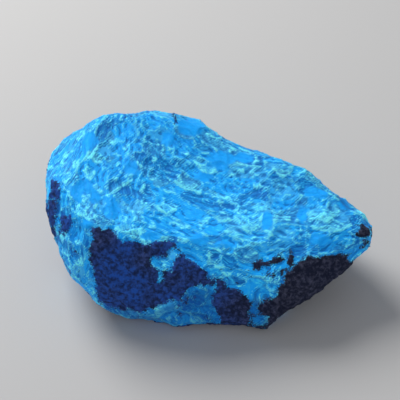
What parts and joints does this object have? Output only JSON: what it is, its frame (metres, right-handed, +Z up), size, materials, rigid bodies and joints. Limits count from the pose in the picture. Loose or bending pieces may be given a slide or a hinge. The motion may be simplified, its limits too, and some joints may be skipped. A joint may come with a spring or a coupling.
{
  "type": "rough amber nodule",
  "caption": "Rough, unpolished nodule of fossil resin that glows blue, blunt at one end and tapered at the other, with a flaked skin, dark crust and a small flat spot to rest on.",
  "frame": {"origin": "on the ground, under the middle of the stone's box seen from above", "axes": "+X along the stone towards its tapered end, -Y towards the side with most of the dark crust, +Z up as it rests"},
  "size_m": [0.097, 0.059, 0.0408],
  "materials": {
    "rough_amber": "rough flaked skin that glows bright azure blue, with matt navy to brown-black crust patches"
  },
  "bodies": {
    "root": {"amber_nodule": "rough_amber"}
  },
  "joints": []
}
